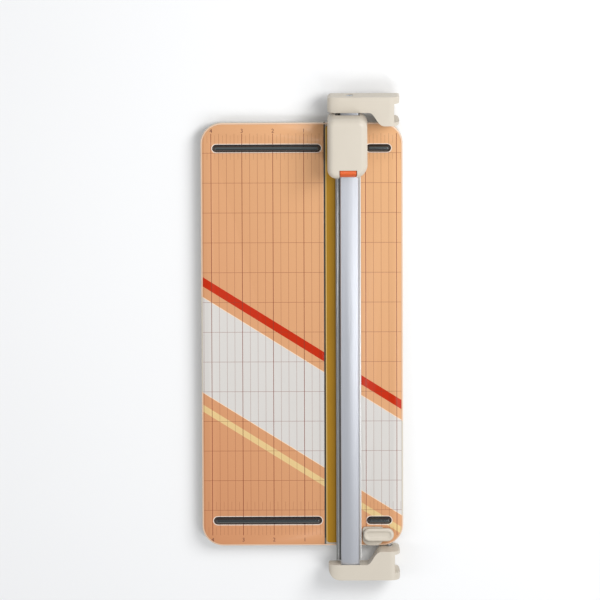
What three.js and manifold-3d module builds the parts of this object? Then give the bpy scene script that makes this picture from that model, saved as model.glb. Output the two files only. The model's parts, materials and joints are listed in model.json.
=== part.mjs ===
// Portable rotary paper trimmer: a ruled bed with a cutting strip, a rail arm hinged along one side of
// the bed, and a sprung carriage that slides along the rail and presses a round blade on the strip.
// Millimetres. +Z is up, the rail runs along Y, and the origin is the middle of the footprint.

import * as THREE from "three";
import { mergeVertices } from "three/addons/utils/BufferGeometryUtils.js";
import Module from "manifold-3d";

const wasm = await Module();
wasm.setup();

// ---------------------------------------------------------------- driving dimensions

// Bed: a moulded tray with two printed panels, a cutting strip between them and a bottom cover.
// Its outer wall is upright down to KEEL_TOP and slopes in from there to the bottom.
const BED_WIDTH = 166.1;
const BED_LENGTH = 360.9;
const BED_CORNER = 17.5;
const BED_BOTTOM = 1.7;
const BED_TOP = 13;
const BED_EDGE = 0.8;
const KEEL_TOP = 9.2;
const KEEL_INSET = 4;
const RIM = 1.2;
const PANEL_SEAT = 11.6;
const WEB_BOTTOM = 9.6;
const HOLLOW_INSET = 6;
const COVER_TOP = 3.1;
const RIB_WIDTH = 2;
const LEFT_PANEL_EDGE = 18;
const RIGHT_PANEL_EDGE = 37.2;

const STRIP_LEFT = 19.4;
const STRIP_RIGHT = 35.8;
const STRIP_BOTTOM = 11;
const STRIP_HALF_LENGTH = 178;
const STRIP_CORNER = 3;
const GROOVE_FLOOR = 10.3;

// Paper guides: dark bars standing in slots across the bed.
const GUIDE_Y = 158.9;
const GUIDE_SLOT_WIDTH = 6.6;
const GUIDE_SPANS = { left: [-73.5, 16], right: [52.9, 73.5] };
const GUIDE_HEIGHT = 3.6;
const GUIDE_PEG_RADIUS = 1.3;

// Feet and cover screws.
const FOOT_X = 65;
const FOOT_Y = 160;
const FOOT_RADIUS = 7;
const FOOT_PEG_RADIUS = 2.8;
const COVER_SCREW_SPOTS = [
  [-52, -138],
  [52, -138],
  [-68, 0],
  [68, 0],
  [-52, 138],
  [52, 138],
];

// Hinge of the rail arm: a pin in each end of the tray, in a bush in each bracket.
const HINGE_X = 71.4;
const HINGE_Z = 8.8;
const HUB_RADIUS = 8;
const PIN_RADIUS = 2;
const PIN_HALF_LENGTH = 14.2;
const PIN_MIDDLE = 184.1;
const BUSH_BORE = 2.1;
const BUSH_RADIUS = 3.4;
const BUSH_HALF_LENGTH = 8.2;
const BUSH_MIDDLE = 190.4;

// Rail: an aluminium extrusion with a crowned head and two guide grooves.
const RAIL_X = 39.2;
const RAIL_HALF_LENGTH = 198;
const BODY_HALF = 7.6;
const NECK_HALF = 5.4;
const RAIL_BOTTOM = 15;
const GROOVE_BOTTOM = 20.2;
const GROOVE_TOP = 22.5;
const RAIL_SHOULDER = 27.2;
const RAIL_TOP = 28;
const SCREW_PORT_Z = 21.2;
const SCREW_PORT_RADIUS = 1.5;

// Clear hold-down strip, bonded under the rail, with a raised edge beside the blade.
const HOLD_DOWN_X = [27.8, 48.5];
const HOLD_DOWN_BOTTOM = 14.2;
const HOLD_DOWN_EDGE_TOP = 16;
const HOLD_DOWN_EDGE = 0.8;
const GRIP_OFFSET = 7;

// End brackets of the rail arm.
const BRACKET_LEFT = 21.2;
const BRACKET_RIGHT = 80.3;
const BRACKET_TOP = 29.5;
const ARM_UNDERSIDE = 14.6;
const ARM_INNER = 192.8;
const ARM_OUTER = 205.9;
const HUB_INNER = 181.4;
const HUB_OUTER = 201.5;
const ARM_CORNER = { front: 11, rear: 4 };
const ARM_CURVE_X = { front: 52.5, rear: 55.5 };
const NOTCH_LEFT = 76;
const NOTCH_Y = [184.3, 200];

// Latch beside the rail. Its nose slides over the right edge of the hold-down strip.
const LATCH_Y = -170.3;
const LATCH_X = [49.8, 75.2];
const LATCH_WIDTH = 11.2;
const LATCH_UNDERSIDE = 15.3;
const LATCH_TOP = 18.6;
const LATCH_TRAVEL = 2.7;
const LATCH_STEM_X = [57, 64];
const LATCH_GUIDE_X = [49.4, 66.7];
const LATCH_GUIDE_Y = [-179.9, -164.2];
const LATCH_GUIDE_TOP = 15;
const LATCH_PEG_RADIUS = 1.2;
const LATCH_PEG_SPOTS = [
  [52.2, -176.8],
  [64.6, -176.8],
];

// Carriage, with its pressed cap and its blade. Its own Y starts at its middle.
const CARRIAGE_Y = 166;
const CAP_X = [20.6, 54.4];
const CAP_HALF_LENGTH = 25.4;
const CAP_TOP = 46.6;
const CAP_SKIRT = 17.5;
const CAP_RIGHT_SKIRT = 22.8;
const CAP_WALL = 2;
const CAP_EDGE = 5.5;
const CAP_REAR_CORNER = 7;
const CAP_FRONT_CORNER = 11;
const CHASSIS_X = [28.6, 51.8];
const CHASSIS_HALF_LENGTH = 22.7;
const CHASSIS_CEILING = 29.4;
const CHASSIS_TOP = 31.4;
const CATCH_Y = 13;
const SPRING_X = 40.9;
const SPRING_OFFSET = 12;
const SPRING_RADIUS = 3.6;
const SPRING_TOP = 44.3;
const SPIGOT_RADIUS = 2.6;
const BLADE_X = 27.1;
const BLADE_Z = 30.1;
const BLADE_RADIUS = 14;
const BLADE_THICKNESS = 0.4;
const HOLDER_X = [23.9, 25.9];
const HOLDER_SCREW_Y = 11.2;
const HOLDER_SCREW_Z = 41.6;

// Release button in the front end of the cap, on a sprung shelf.
const BUTTON_X = [31.2, 45.2];
const BUTTON_INNER = -17.6;
const BUTTON_FRONT = 1 - CAP_HALF_LENGTH;
const BUTTON_UNDERSIDE = 40.4;
const BUTTON_TOP = 45.8;
const BUTTON_SPRING_Y = -20.5;
const SHELF_TOP = 36.2;
const SHELF_THICKNESS = 1.4;

const GAP = 0.3;

// The two ends of the object along Y, by name.
const ENDS = Object.entries({ front: -1, rear: 1 });

// ---------------------------------------------------------------- materials

const finish = (color, roughness, metalness = 0) =>
  new THREE.MeshStandardMaterial({ color, roughness, metalness });

const CREAM = () => finish(0xded6c6, 0.45);
const PRINTED = () => finish(0xeec396, 0.4);
const OCHRE = () => finish(0xaa8432, 0.6);
const BLACK = () => finish(0x1c1d20, 0.25);
const RUBBER = () => finish(0x2a2a2c, 0.9);
const STEEL = () => finish(0xb8bcc2, 0.3, 1);
const ALUMINIUM = () => finish(0xb4b9c2, 0.35, 1);
const CLEAR = () => finish(0xe8ecee, 0.2);
const ORANGE = () => finish(0xeb6e23, 0.4);
const NATURAL = () => finish(0xe6e4dc, 0.5);

// ---------------------------------------------------------------- shapes and solids

const low = (span) => Math.min(...span);
const high = (span) => Math.max(...span);
const middle = (span) => (span[0] + span[1]) / 2;

/** A box over three spans, each given as [from, to]. */
function block(x, y, z) {
  const size = [x, y, z].map((span) => high(span) - low(span));
  return new THREE.BoxGeometry(...size).translate(middle(x), middle(y), middle(z));
}

/** A closed outline from corners [x, y, radius], rounded where a radius is given. */
function outline(corners) {
  const shape = new THREE.Shape();
  corners.forEach(([x, y, radius = 0], i) => {
    const corner = new THREE.Vector2(x, y);
    const reach = (other) => {
      const end = new THREE.Vector2(other[0], other[1]);
      return end.sub(corner).setLength(radius).add(corner);
    };
    const start = radius ? reach(corners.at(i - 1)) : corner;
    if (i === 0) shape.moveTo(start.x, start.y);
    else shape.lineTo(start.x, start.y);
    if (!radius) return;
    const end = reach(corners[(i + 1) % corners.length]);
    shape.quadraticCurveTo(x, y, end.x, end.y);
  });
  shape.closePath();
  return shape;
}

/** A rectangle with circular corners, which may be rounder at the front. */
function roundedRectangle(x, y, radius, frontRadius = radius) {
  const [left, right, front, back] = [low(x), high(x), low(y), high(y)];
  const quarter = Math.PI / 2;
  const shape = new THREE.Shape();
  const corner = (cx, cy, r, turns) =>
    shape.absarc(cx, cy, r, turns * quarter, (turns + 1) * quarter);
  corner(right - radius, back - radius, radius, 0);
  corner(left + radius, back - radius, radius, 1);
  corner(left + frontRadius, front + frontRadius, frontRadius, 2);
  corner(right - frontRadius, front + frontRadius, frontRadius, 3);
  shape.closePath();
  return shape;
}

/** A shape in the XY plane, extruded over a span of Z, with both ends' edges rounded by edge. */
function prism(shape, z, edge = 0, steps = 4, edgeSteps = 2) {
  const geometry = new THREE.ExtrudeGeometry(shape, {
    depth: high(z) - low(z) - 2 * edge,
    curveSegments: steps,
    bevelEnabled: edge > 0,
    bevelThickness: edge,
    bevelSize: edge,
    bevelOffset: -edge,
    bevelSegments: edgeSteps,
  });
  return geometry.translate(0, 0, low(z) + edge);
}


const AXIS = {
  x: new THREE.Vector3(1, 0, 0),
  y: new THREE.Vector3(0, 1, 0),
  z: new THREE.Vector3(0, 0, 1),
};

/** A shape drawn in the XZ plane, extruded over a span of Y. */
function alongY(shape, y, edge = 0, steps = 4) {
  const turn = new THREE.Matrix4().makeBasis(AXIS.x, AXIS.z, AXIS.y.clone().negate());
  return prism(shape, [-high(y), -low(y)], edge, steps).applyMatrix4(turn);
}

/** A shape drawn in the YZ plane, extruded over a span of X. */
function alongX(shape, x, edge = 0, steps = 4) {
  const turn = new THREE.Matrix4().makeBasis(AXIS.y, AXIS.z, AXIS.x);
  return prism(shape, x, edge, steps).applyMatrix4(turn);
}

/** A plate with rounded corners, lying flat. */
function plate(x, y, z, radius, edge = 0, steps = 3) {
  return prism(roundedRectangle(x, y, radius), z, edge, steps);
}

/** A round bar along an axis, over a span of it, through the point [a, b] of the other two axes. */
function bar(axis, radius, span, [a, b], sides = 24) {
  const length = high(span) - low(span);
  const geometry = new THREE.CylinderGeometry(radius, radius, length, sides);
  const centre = middle(span);
  if (axis === "x") return geometry.rotateZ(Math.PI / 2).translate(centre, a, b);
  if (axis === "y") return geometry.translate(a, centre, b);
  return geometry.rotateX(Math.PI / 2).translate(a, b, centre);
}

/** A turned piece about the Y axis, from the [radius, height] points of its closed profile. */
function turned(sides, points) {
  const profile = points.map(([radius, height]) => new THREE.Vector2(radius, height));
  return new THREE.LatheGeometry(profile, sides);
}

const turnedAboutX = (sides, points) => turned(sides, points).rotateZ(-Math.PI / 2);

const turnedAboutZ = (sides, points) => turned(sides, points).rotateX(Math.PI / 2);

/** A closed geometry as a solid for joining and cutting. */
function solid(geometry) {
  const loose = geometry.index ? geometry.toNonIndexed() : geometry;
  const shell = new THREE.BufferGeometry();
  shell.setAttribute("position", loose.getAttribute("position"));
  const merged = mergeVertices(shell, 1e-3);
  const mesh = new wasm.Mesh({
    numProp: 3,
    vertProperties: merged.attributes.position.array,
    triVerts: new Uint32Array(merged.index.array),
  });
  return new wasm.Manifold(mesh);
}

function geometryOf(body) {
  const { vertProperties, triVerts } = body.getMesh();
  const geometry = new THREE.BufferGeometry();
  geometry.setAttribute("position", new THREE.BufferAttribute(vertProperties, 3));
  geometry.setIndex(new THREE.BufferAttribute(triVerts, 1));
  return geometry;
}

const joinSolids = (pieces) => pieces.map(solid).reduce((all, piece) => all.add(piece));

const join = (...pieces) => geometryOf(joinSolids(pieces));

const cut = (geometry, ...tools) =>
  geometryOf(solid(geometry).subtract(joinSolids(tools)));

const common = (geometry, other) => geometryOf(solid(geometry).intersect(solid(other)));

function mesh(name, geometry, material, position = [0, 0, 0]) {
  geometry.computeVertexNormals();
  const made = new THREE.Mesh(geometry, material);
  made.name = name;
  made.position.set(...position);
  return made;
}

function group(position, ...children) {
  const made = new THREE.Group();
  made.position.set(...position);
  made.add(...children.flat());
  return made;
}

// ---------------------------------------------------------------- bed

const BED_X = [-BED_WIDTH / 2, BED_WIDTH / 2];
const BED_Y = [-BED_LENGTH / 2, BED_LENGTH / 2];
const inset = ([from, to], depth) => [from + depth, to - depth];

/** A plate with the bed's outline, drawn in by depth on every side. */
const bedPlate = (depth, z, edge = 0) =>
  plate(inset(BED_X, depth), inset(BED_Y, depth), z, BED_CORNER - depth, edge, 4);

const guideSpots = [
  { name: "guide_bar_rear_left", span: GUIDE_SPANS.left, y: GUIDE_Y },
  { name: "guide_bar_rear_right", span: GUIDE_SPANS.right, y: GUIDE_Y },
  { name: "guide_bar_front_left", span: GUIDE_SPANS.left, y: -GUIDE_Y },
  { name: "guide_bar_front_right", span: GUIDE_SPANS.right, y: -GUIDE_Y },
];

const guidePegOffset = (span) => (high(span) - low(span)) / 2 - 5;

/** The tray's block: upright walls with rounded top edges, sloping in below KEEL_TOP. */
function trayBlank() {
  const keel = new THREE.ExtrudeGeometry(roundedRectangle(BED_X, BED_Y, BED_CORNER), {
    depth: BED_TOP,
    curveSegments: 4,
    bevelThickness: KEEL_TOP - BED_BOTTOM,
    bevelSize: KEEL_INSET,
    bevelOffset: -KEEL_INSET,
    bevelSegments: 1,
  });
  return common(
    bedPlate(0, [BED_BOTTOM - BED_EDGE, BED_TOP], BED_EDGE),
    keel.translate(0, 0, KEEL_TOP),
  );
}

/** The tray's inside space: what is left between its walls, ribs and bosses. */
function trayHollow() {
  const z = [COVER_TOP, WEB_BOTTOM];
  const half = RIB_WIDTH / 2;
  const width = BED_WIDTH - 2 * HOLLOW_INSET;
  const length = BED_LENGTH - 2 * HOLLOW_INSET;
  const cells = { across: 5, along: 10 };
  const bossRadius = 3.6;
  const kept = [];
  for (let i = 1; i < cells.across; i += 1) {
    const x = width * (i / cells.across - 0.5);
    kept.push(block([x - half, x + half], [-length, length], z));
  }
  for (let i = 1; i < cells.along; i += 1) {
    const y = length * (i / cells.along - 0.5);
    kept.push(block([-width, width], [y - half, y + half], z));
  }
  for (const spot of COVER_SCREW_SPOTS) kept.push(bar("z", bossRadius, z, spot, 10));
  for (const [, side] of ENDS) {
    kept.push(block([HINGE_X - 5.5, HINGE_X + 5.5], [side * 166, side * 180], z));
  }
  return cut(bedPlate(HOLLOW_INSET, z), ...kept);
}

/** Clearance holes for the latch guide's pegs, over a span of Z. */
const latchPegHoles = (z) =>
  LATCH_PEG_SPOTS.map((spot) => bar("z", LATCH_PEG_RADIUS + GAP, z, spot, 12));

function baseTray() {
  const half = STRIP_HALF_LENGTH + 0.1;
  const stripY = [-half, half];
  const tools = [
    bedPlate(RIM, [PANEL_SEAT, BED_TOP + 1]),
    bedPlate(HOLLOW_INSET, [0, COVER_TOP]),
    trayHollow(),
    plate([STRIP_LEFT - 0.1, STRIP_RIGHT + 0.1], stripY, [STRIP_BOTTOM, BED_TOP], STRIP_CORNER),
    block([LEFT_PANEL_EDGE + 0.2, STRIP_LEFT - 0.1], inset(stripY, 4), [GROOVE_FLOOR, BED_TOP]),
    ...latchPegHoles([WEB_BOTTOM - 1, BED_TOP]),
  ];
  for (const spot of COVER_SCREW_SPOTS) tools.push(bar("z", 1.35, [1, 8.8], spot, 8));
  for (const [, side] of ENDS) {
    const depth = [side * (PIN_MIDDLE - PIN_HALF_LENGTH - 0.2), side * 183];
    tools.push(bar("y", PIN_RADIUS + 0.1, depth, [HINGE_X, HINGE_Z]));
  }
  for (const { span, y } of guideSpots) {
    for (const side of [-1, 1]) {
      const spot = [middle(span) + side * guidePegOffset(span), y];
      tools.push(bar("z", GUIDE_PEG_RADIUS + GAP, [WEB_BOTTOM - 1, BED_TOP], spot, 8));
    }
  }
  return cut(trayBlank(), ...tools);
}

function bottomCover() {
  const through = [1, COVER_TOP + 1];
  const tools = [];
  for (const spot of COVER_SCREW_SPOTS) {
    tools.push(bar("z", 1.6, through, spot, 12));
    const sink = new THREE.CylinderGeometry(1.6, 2.9, 1.3, 12).rotateX(Math.PI / 2);
    tools.push(sink.translate(...spot, BED_BOTTOM + 0.65));
  }
  for (const x of [-FOOT_X, FOOT_X]) {
    for (const y of [-FOOT_Y, FOOT_Y]) {
      tools.push(bar("z", FOOT_PEG_RADIUS + 0.25, through, [x, y], 12));
    }
  }
  const sheet = bedPlate(HOLLOW_INSET + GAP, [BED_BOTTOM + 0.1, COVER_TOP - 0.1]);
  return cut(sheet, ...tools);
}

/** One printed panel: the recess of the tray on one side of the cutting strip, with its slots. */
function deckPanel(x) {
  const sheet = bedPlate(RIM + 0.1, [PANEL_SEAT, BED_TOP]);
  const through = [PANEL_SEAT - 1, BED_TOP + 1];
  const half = GUIDE_SLOT_WIDTH / 2;
  const slots = guideSpots.map(({ span, y }) => plate(span, [y - half, y + half], through, half));
  return cut(common(sheet, block(x, BED_Y, through)), ...slots, ...latchPegHoles(through));
}

const cuttingStrip = () =>
  plate(
    [STRIP_LEFT, STRIP_RIGHT],
    [-STRIP_HALF_LENGTH, STRIP_HALF_LENGTH],
    [STRIP_BOTTOM, BED_TOP],
    STRIP_CORNER,
  );

/** A guide bar: a flange that fills the slot, a rounded ridge and two pegs, about its own middle. */
function guideBar(span) {
  const half = (high(span) - low(span)) / 2;
  const flange = GUIDE_SLOT_WIDTH / 2 - 0.25;
  const ridge = 2;
  const crestX = [-half + 1.5, half - 1.5];
  const body = plate([-half + 0.25, half - 0.25], [-flange, flange], [0, 1.2], flange);
  const crest = plate(crestX, [-ridge, ridge], [0.4, GUIDE_HEIGHT], ridge, 0.9, 2);
  const pegs = [-1, 1].map((side) =>
    bar("z", GUIDE_PEG_RADIUS, [-1.7, 0.4], [side * guidePegOffset(span), 0], 8),
  );
  return join(body, crest, ...pegs);
}

/** A stick-in rubber foot about Z, with its peg upwards. */
const rubberFoot = () =>
  turnedAboutZ(16, [
    [0, 0],
    [FOOT_RADIUS - 0.6, 0],
    [FOOT_RADIUS, 0.6],
    [FOOT_RADIUS, BED_BOTTOM],
    [FOOT_PEG_RADIUS, BED_BOTTOM],
    [FOOT_PEG_RADIUS, COVER_TOP - 0.2],
    [0, COVER_TOP - 0.2],
  ]);

/** A screw about Z with its head at the bottom, cut with a cross; a sunk head is a cone. */
function screw(headRadius, headHeight, shankRadius, length, sunk) {
  const rim = sunk ? 0.2 : headHeight;
  const blank = turnedAboutZ(12, [
    [0, 0],
    [headRadius, 0],
    [headRadius, rim],
    [shankRadius, headHeight],
    [shankRadius, length - 0.6],
    [0, length],
  ]);
  const slot = 0.35;
  const reach = headRadius * 0.6;
  const depth = [-1, headHeight * 0.5];
  return cut(
    blank,
    block([-reach, reach], [-slot, slot], depth),
    block([-slot, slot], [-reach, reach], depth),
  );
}

const hingePin = () => bar("y", PIN_RADIUS, [-PIN_HALF_LENGTH, PIN_HALF_LENGTH], [0, 0], 20);

/** The plate under the latch: a slot for its stem over a wider channel for its foot. */
function latchGuide() {
  const plan = roundedRectangle(LATCH_GUIDE_X, LATCH_GUIDE_Y, 2.5, 6.4);
  const body = prism(plan, [BED_TOP, LATCH_GUIDE_TOP]);
  const pegs = LATCH_PEG_SPOTS.map((spot) =>
    bar("z", LATCH_PEG_RADIUS, [WEB_BOTTOM + 0.4, BED_TOP + 0.5], spot, 12),
  );
  const run = [low(LATCH_STEM_X) - LATCH_TRAVEL - GAP, high(LATCH_STEM_X) + GAP];
  const channelTop = BED_TOP + 1.3;
  return cut(
    join(body, ...pegs),
    block(run, [LATCH_Y - 2.4, LATCH_Y + 2.4], [BED_TOP + 1, LATCH_GUIDE_TOP + 1]),
    block(run, [LATCH_Y - 4, LATCH_Y + 4], [BED_TOP - 0.1, channelTop]),
  );
}

function base() {
  const parts = [
    mesh("base_tray", baseTray(), CREAM()),
    mesh("bottom_cover", bottomCover(), CREAM()),
    mesh("deck_left", deckPanel([-BED_WIDTH, LEFT_PANEL_EDGE]), PRINTED()),
    mesh("deck_right", deckPanel([RIGHT_PANEL_EDGE, BED_WIDTH]), PRINTED()),
    mesh("cutting_strip", cuttingStrip(), OCHRE()),
    mesh("latch_guide", latchGuide(), CREAM()),
  ];
  for (const { name, span, y } of guideSpots) {
    parts.push(mesh(name, guideBar(span), BLACK(), [middle(span), y, PANEL_SEAT]));
  }
  for (const [end, y] of ENDS) {
    for (const [side, x] of Object.entries({ left: -1, right: 1 })) {
      const place = [x * FOOT_X, y * FOOT_Y, 0];
      parts.push(mesh(`foot_${end}_${side}`, rubberFoot(), RUBBER(), place));
    }
    const pin = [HINGE_X, y * PIN_MIDDLE, HINGE_Z];
    parts.push(mesh(`hinge_pin_${end}`, hingePin(), STEEL(), pin));
  }
  COVER_SCREW_SPOTS.forEach(([x, y], i) => {
    const fastener = screw(2.5, 1.1, 1.15, 6.6, true);
    parts.push(mesh(`cover_screw_${i + 1}`, fastener, STEEL(), [x, y, BED_BOTTOM + 0.15]));
  });
  return group([0, 0, 0], parts);
}

// ---------------------------------------------------------------- latch

/** The latch: an oblong button with a dished top, on a stem and foot that run in the guide. */
function latchButton() {
  const edge = 1.4;
  const y = [LATCH_Y - LATCH_WIDTH / 2, LATCH_Y + LATCH_WIDTH / 2];
  const pill = prism(
    roundedRectangle(LATCH_X, y, LATCH_WIDTH / 2 - 0.6),
    [LATCH_UNDERSIDE - edge, LATCH_TOP],
    edge,
    5,
    3,
  );
  const dish = new THREE.SphereGeometry(1, 16, 8).scale(10.8, 3.9, 0.9);
  dish.translate(middle(LATCH_X), LATCH_Y, LATCH_TOP + 0.15);
  const below = block([0, BED_WIDTH], y, [0, LATCH_UNDERSIDE]);
  const stem = block(LATCH_STEM_X, [LATCH_Y - 2.1, LATCH_Y + 2.1], [13.6, LATCH_UNDERSIDE + 0.4]);
  const foot = block(LATCH_STEM_X, [LATCH_Y - 3.6, LATCH_Y + 3.6], [13.2, 14]);
  return join(cut(pill, below, dish), stem, foot);
}

// ---------------------------------------------------------------- rail arm

/** The rail's section about its own middle: crowned on top, grooved on both sides, and hollow. */
function railProfile() {
  const shape = new THREE.Shape();
  const shoulder = 6.2;
  const side = [
    [BODY_HALF, RAIL_BOTTOM],
    [BODY_HALF, GROOVE_BOTTOM],
    [NECK_HALF, GROOVE_BOTTOM],
    [NECK_HALF, GROOVE_TOP],
    [BODY_HALF, GROOVE_TOP],
  ];
  shape.moveTo(-BODY_HALF, RAIL_BOTTOM);
  for (const [x, z] of side) shape.lineTo(x, z);
  shape.lineTo(BODY_HALF, RAIL_SHOULDER - 1.4);
  shape.quadraticCurveTo(BODY_HALF, RAIL_SHOULDER, shoulder, RAIL_SHOULDER);
  shape.quadraticCurveTo(0, 2 * RAIL_TOP - RAIL_SHOULDER, -shoulder, RAIL_SHOULDER);
  shape.quadraticCurveTo(-BODY_HALF, RAIL_SHOULDER, -BODY_HALF, RAIL_SHOULDER - 1.4);
  for (const [x, z] of side.slice(1).toReversed()) shape.lineTo(-x, z);
  shape.closePath();
  shape.holes.push(roundedRectangle([-5.8, 5.8], [16.3, 18.9], 0.6));
  shape.holes.push(roundedRectangle([-5.9, 5.9], [23.7, 26.1], 0.6));
  shape.holes.push(new THREE.Path().absarc(0, SCREW_PORT_Z, SCREW_PORT_RADIUS, 0, 2 * Math.PI));
  return shape;
}

/** The clear strip that holds the paper: flat under the rail, turned up beside the blade. */
function holdDownStrip() {
  const [left, right] = HOLD_DOWN_X;
  const profile = outline([
    [left, HOLD_DOWN_BOTTOM],
    [right, HOLD_DOWN_BOTTOM],
    [right, RAIL_BOTTOM],
    [left + HOLD_DOWN_EDGE, RAIL_BOTTOM],
    [left + HOLD_DOWN_EDGE, HOLD_DOWN_EDGE_TOP],
    [left, HOLD_DOWN_EDGE_TOP],
  ]);
  return alongY(profile, [-ARM_INNER + 0.5, ARM_INNER - 0.5]);
}

const gripStrip = () => block([-1.5, 1.5], [-190, 190], [13.6, HOLD_DOWN_BOTTOM - 0.1]);

/** The bracket's outline seen from its end: an arm over the bed's end and a hub round the pin. */
function bracketProfile() {
  const shape = new THREE.Shape();
  const [left, right, top] = [BRACKET_LEFT, BRACKET_RIGHT, BRACKET_TOP];
  shape.moveTo(left, ARM_UNDERSIDE + 2);
  shape.lineTo(left, top - 6);
  shape.quadraticCurveTo(left, top, left + 11, top);
  shape.lineTo(right - 9, top);
  shape.quadraticCurveTo(right, top, right, top - 9);
  shape.lineTo(right - 0.4, 14);
  shape.lineTo(HINGE_X + HUB_RADIUS, HINGE_Z);
  shape.absarc(HINGE_X, HINGE_Z, HUB_RADIUS, 0, -0.9 * Math.PI, true);
  shape.quadraticCurveTo(HINGE_X - 9, ARM_UNDERSIDE, HINGE_X - 15, ARM_UNDERSIDE);
  shape.lineTo(left + 2, ARM_UNDERSIDE);
  shape.quadraticCurveTo(left, ARM_UNDERSIDE, left, ARM_UNDERSIDE + 2);
  return shape;
}

/** The bracket's outline seen from above, with the arm's curve to the hub starting at curveX. */
function bracketPlan(side, corner, curveX) {
  const shape = new THREE.Shape();
  const [left, right] = [BRACKET_LEFT, BRACKET_RIGHT];
  const [inner, outer, hub] = [side * ARM_INNER, side * ARM_OUTER, side * HUB_INNER];
  shape.moveTo(left + 1.5, inner);
  shape.lineTo(curveX, inner);
  shape.bezierCurveTo(curveX + 5, inner, curveX + 6, hub, curveX + 13, hub);
  shape.lineTo(right - 1.5, hub);
  shape.lineTo(right, hub + side * 1.5);
  shape.lineTo(right, outer - side * 2);
  shape.quadraticCurveTo(right, outer, right - 2, outer);
  shape.lineTo(left + corner, outer);
  shape.quadraticCurveTo(left, outer, left, outer - side * corner);
  shape.lineTo(left, inner + side * 1.5);
  shape.closePath();
  return shape;
}

/** A bracket for the end of the bed that side (-1 or 1) names: socketed, bored and notched. */
function bracket(side, corner, curveX) {
  const body = common(
    alongY(bracketProfile(), [side * (HUB_INNER - 2), side * (ARM_OUTER + 2)], 0, 6),
    prism(bracketPlan(side, corner, curveX), [-2, BRACKET_TOP + 2], 0, 6),
  );
  const socketX = [RAIL_X - BODY_HALF - GAP, RAIL_X + BODY_HALF + GAP];
  const socketY = [side * (ARM_INNER - 2), side * (RAIL_HALF_LENGTH + GAP)];
  const port = [RAIL_X, SCREW_PORT_Z];
  return cut(
    body,
    block(socketX, socketY, [ARM_UNDERSIDE - 1, RAIL_TOP + GAP]),
    bar("y", 1.7, [side * 190, side * 210], port, 16),
    bar("y", 3.3, [side * (ARM_OUTER - 2.2), side * 210], port),
    bar("y", BUSH_RADIUS + 0.1, [side * 180, side * 199], [HINGE_X, HINGE_Z]),
    block([HINGE_X - 20, HINGE_X + 20], [side * HUB_OUTER, side * 210], [-2, ARM_UNDERSIDE]),
    block([NOTCH_LEFT, BRACKET_RIGHT + 1], NOTCH_Y.map((y) => side * y), [-2, BRACKET_TOP + 1]),
  );
}

const hingeBush = () =>
  turned(20, [
    [BUSH_BORE, -BUSH_HALF_LENGTH],
    [BUSH_RADIUS, -BUSH_HALF_LENGTH],
    [BUSH_RADIUS, BUSH_HALF_LENGTH],
    [BUSH_BORE, BUSH_HALF_LENGTH],
    [BUSH_BORE, -BUSH_HALF_LENGTH],
  ]);

function railArm() {
  const span = [-RAIL_HALF_LENGTH, RAIL_HALF_LENGTH];
  const parts = [
    mesh("rail_extrusion", alongY(railProfile(), span, 0, 5), ALUMINIUM(), [RAIL_X, 0, 0]),
    mesh("hold_down_strip", holdDownStrip(), CLEAR()),
    mesh("grip_strip_left", gripStrip(), RUBBER(), [RAIL_X - GRIP_OFFSET, 0, 0]),
    mesh("grip_strip_right", gripStrip(), RUBBER(), [RAIL_X + GRIP_OFFSET, 0, 0]),
  ];
  for (const [end, side] of ENDS) {
    const bush = [HINGE_X, side * BUSH_MIDDLE, HINGE_Z];
    const arm = bracket(side, ARM_CORNER[end], ARM_CURVE_X[end]);
    parts.push(mesh(`bracket_${end}`, arm, CREAM()));
    parts.push(mesh(`hinge_bush_${end}`, hingeBush(), NATURAL(), bush));
    const fastener = mesh(`rail_screw_${end}`, screw(2.9, 1.8, 1.35, 14, false), STEEL());
    fastener.position.set(RAIL_X, side * (ARM_OUTER - 0.35), SCREW_PORT_Z);
    fastener.rotation.x = (side * Math.PI) / 2;
    parts.push(fastener);
  }
  return group([0, 0, 0], parts);
}

// ---------------------------------------------------------------- carriage

/** The chassis: an inverted channel over the rail, with a jaw in each of the rail's grooves. */
function chassis() {
  const [left, right] = CHASSIS_X;
  const innerLeft = RAIL_X - BODY_HALF - 0.4;
  const innerRight = RAIL_X + BODY_HALF + 0.4;
  const jaw = 2.2;
  const jawBottom = GROOVE_BOTTOM + GAP;
  const jawTop = GROOVE_TOP - GAP;
  const profile = outline([
    [left, jawBottom],
    [innerLeft + jaw, jawBottom],
    [innerLeft + jaw, jawTop],
    [innerLeft, jawTop],
    [innerLeft, CHASSIS_CEILING],
    [innerRight, CHASSIS_CEILING],
    [innerRight, jawTop],
    [innerRight - jaw, jawTop],
    [innerRight - jaw, jawBottom],
    [right, jawBottom, 1],
    [right, CHASSIS_TOP, 1],
    [left, CHASSIS_TOP, 1],
  ]);
  const half = CHASSIS_HALF_LENGTH;
  const plan = roundedRectangle([low(CAP_X) + 2.6, right], [-half, half], 6.4, 8.6);
  const body = common(alongY(profile, [-half - 1, half + 1], 0, 3), prism(plan, [0, 40]));
  const seats = [-1, 1].map((side) =>
    bar("z", SPIGOT_RADIUS, [CHASSIS_TOP - 0.5, 34.4], [SPRING_X, side * SPRING_OFFSET], 16),
  );
  const windows = [-1, 1].map((side) =>
    block([right - 1.5, right + 1], [side * (CATCH_Y - 3), side * (CATCH_Y + 3)], [23.6, 28.8]),
  );
  return cut(join(body, ...seats), ...windows);
}

/** A helix about Z, from the origin upwards. */
class Helix extends THREE.Curve {
  constructor(radius, height, turns) {
    super();
    Object.assign(this, { radius, height, turns });
  }

  getPoint(t, target = new THREE.Vector3()) {
    const angle = t * this.turns * 2 * Math.PI;
    const { radius, height } = this;
    return target.set(radius * Math.cos(angle), radius * Math.sin(angle), t * height);
  }
}

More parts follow.
